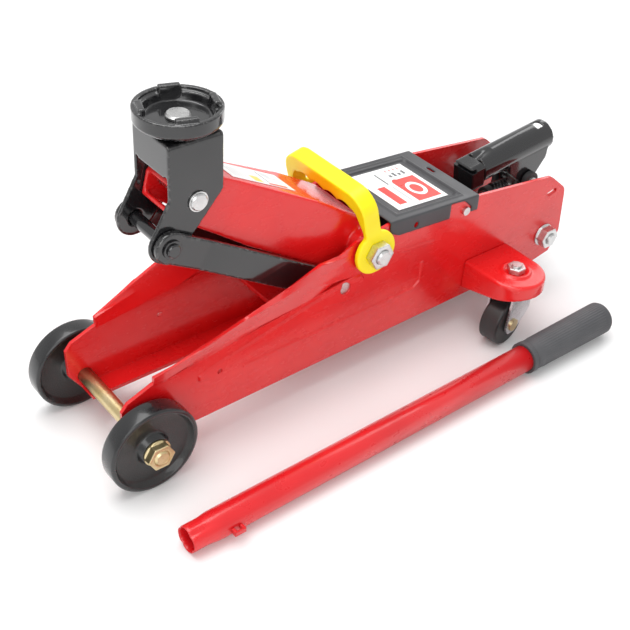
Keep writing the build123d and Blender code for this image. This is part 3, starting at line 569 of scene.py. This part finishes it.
# ---- turned pieces
def lathe(origin, axis, rows, steps):
    side = axis.orthogonal().normalized()
    bm = bmesh.new()
    verts = [bm.verts.new(origin + axis * (t / 1000) + side * (r / 1000)) for t, r in rows]
    edges = [bm.edges.new(pair) for pair in zip(verts, verts[1:])]
    edges.append(bm.edges.new((verts[-1], verts[0])))
    turn = {"cent": origin, "axis": axis, "angle": math.tau, "steps": steps}
    bmesh.ops.spin(bm, geom=verts + edges, use_merge=True, **turn)
    bmesh.ops.remove_doubles(bm, verts=bm.verts, dist=1e-6)
    bmesh.ops.recalc_face_normals(bm, faces=bm.faces)
    return bm


def meshFrom(bm, name):
    mesh = bpy.data.meshes.new(name)
    bm.to_mesh(mesh)
    bm.free()
    return bpy.data.objects.new(name, mesh)


# distance in from the outer face, and radius
wheel = {"face": 62.0, "radius": 35.0, "webIn": 12.6, "webOut": 31.0}
wheelRows = [(0.0, 6.15), (0.0, 10.6), (0.5, 11.3), (4.8, 12.4), (5.5, 13.4), (5.6, 14.5)]
wheelRows += [(5.6, 28.4), (5.2, 29.6)]
wheelRows += [(0.8, 31.2), (0.2, 31.8), (0.0, 32.6), (0.2, 33.9), (0.9, 34.7), (2.0, 35.0), (13.4, 35.0)]
wheelRows += [(14.7, 34.6), (15.4, 33.4), (15.4, 32.4), (15.0, 31.7), (10.6, 30.2)]
wheelRows += [(10.0, 29.0), (10.0, 13.2)]
wheelRows += [(10.5, 12.0), (15.0, 11.3), (15.4, 10.6), (15.4, 6.15)]
for name, sign in (("front_wheel_near", -1), ("front_wheel_far", 1)):
    hub = spot(0, sign * wheel["face"], wheel["radius"])
    obj = meshFrom(lathe(hub, Vector((0, -sign, 0)), wheelRows, 128), name + "Cast")
    putIn(obj, name, "wheelPaint")
    obj.data.materials.append(mats["wheelCast"])
    for poly in obj.data.polygons:
        out = Vector((poly.center.x - hub.x, 0, poly.center.z - hub.z)).length * 1000
        if wheel["webIn"] < out < wheel["webOut"]:
            poly.material_index = 1

tubeFront = spot(-15.5, -123.0, 11.02)
tubeAxis = (spot(409.0, -120.0, 14.56) - tubeFront).normalized()
tubeSide = tubeAxis.orthogonal().normalized()
tube = {"radius": 11.0, "neck": 10.2, "bore": 9.25, "length": 420.4, "dents": 4, "dent": 1.5, "fade": 20.0}


def aroundTube(co):
    # distance along the tube, the way out from its middle, and the angle round it
    offset = co - tubeFront
    along = offset.dot(tubeAxis)
    out = offset - tubeAxis * along
    angle = math.atan2(out.dot(tubeAxis.cross(tubeSide)), out.dot(tubeSide))
    return along * 1000, out, angle


def makeTube(cfg):
    rows = [(0.3, cfg["neck"] - 0.5), (0.0, cfg["neck"] - 0.3), (0.4, cfg["neck"])]
    rows += [(t, cfg["neck"]) for t in (3, 6, 9, 12)]
    rows += [(14, 10.3), (17, 10.6), (21, 10.9), (26, cfg["radius"]), (40, cfg["radius"])]
    rows += [(cfg["length"], cfg["radius"]), (cfg["length"], cfg["bore"])]
    rows += [(t, cfg["bore"]) for t in (40, 26, 21, 17, 14, 12, 9, 6, 3)]
    bm = lathe(tubeFront, tubeAxis, rows, 120)
    for vert in bm.verts:
        t, out, angle = aroundTube(vert.co)
        if t < cfg["fade"]:
            wave = max(0.0, math.cos(angle * cfg["dents"] + 0.9)) ** 3
            vert.co -= out.normalized() * cfg["dent"] * wave * (1 - t / cfg["fade"]) / 1000
    putIn(meshFrom(bm, "handleTube"), "handle_tube", "tubeRed")


makeTube(tube)


# ---- fluted rubber grip
grip = {"flutes": 40, "depth": 0.45, "startR": 12.9, "endR": 14.0, "bore": 11.06}
grip.update({"start": 331.5, "end": 424.5, "skin": 0.012})


def makeGrip(cfg):
    g0, g1 = cfg["start"], cfg["end"]
    rows = [(g0 + 0.3, cfg["bore"]), (g0 + 0.3, cfg["startR"] - 0.8), (g0 + 1.0, cfg["startR"])]
    rows += [(g0 + 8.0, cfg["startR"]), (g0 + 9.0, cfg["startR"] + 0.3), (g1 - 9.0, cfg["endR"])]
    rows += [(g1 - 8.0, cfg["endR"]), (g1 - 3.4, cfg["endR"]), (g1 - 1.4, cfg["endR"] - 1.0)]
    rows += [(g1 - 0.4, cfg["endR"] - 2.8), (g1 - 0.1, 6.0), (g1 - 0.1, 0.0)]
    rows += [(g1 - 3.7, 0.0), (g1 - 3.7, cfg["bore"])]
    bm = lathe(tubeFront, tubeAxis, rows, cfg["flutes"] * 5)
    for vert in bm.verts:
        t, out, angle = aroundTube(vert.co)
        if g0 + 8.5 < t < g1 - 7.5 and out.length > cfg["skin"]:
            wave = 0.5 - 0.5 * math.cos(angle * cfg["flutes"])
            vert.co -= out.normalized() * wave * cfg["depth"] / 1000
    putIn(meshFrom(bm, "handleGrip"), "handle_grip", "gripRubber")


makeGrip(grip)
print("jack: turned pieces done")


# ---- floor
def makeFloor():
    mesh = bpy.data.meshes.new("studioFloor")
    bm = bmesh.new()
    bmesh.ops.create_grid(bm, x_segments=2, y_segments=2, size=6)
    bm.to_mesh(mesh)
    bm.free()
    floor = bpy.data.objects.new("studioFloor", mesh)
    bpy.context.scene.collection.objects.link(floor)
    mat, tree, shader = newMaterial("floorPaper")
    tone = noise(tree, 3, 2)
    colour = ramp(tree, tone, [(0.3, (0.86, 0.86, 0.86)), (0.7, (0.88, 0.88, 0.88))])
    tree.links.new(colour, shader.inputs["Base Color"])
    shader.inputs["Roughness"].default_value = 0.75
    mesh.materials.append(mat)


makeFloor()
print("jack: floor laid")
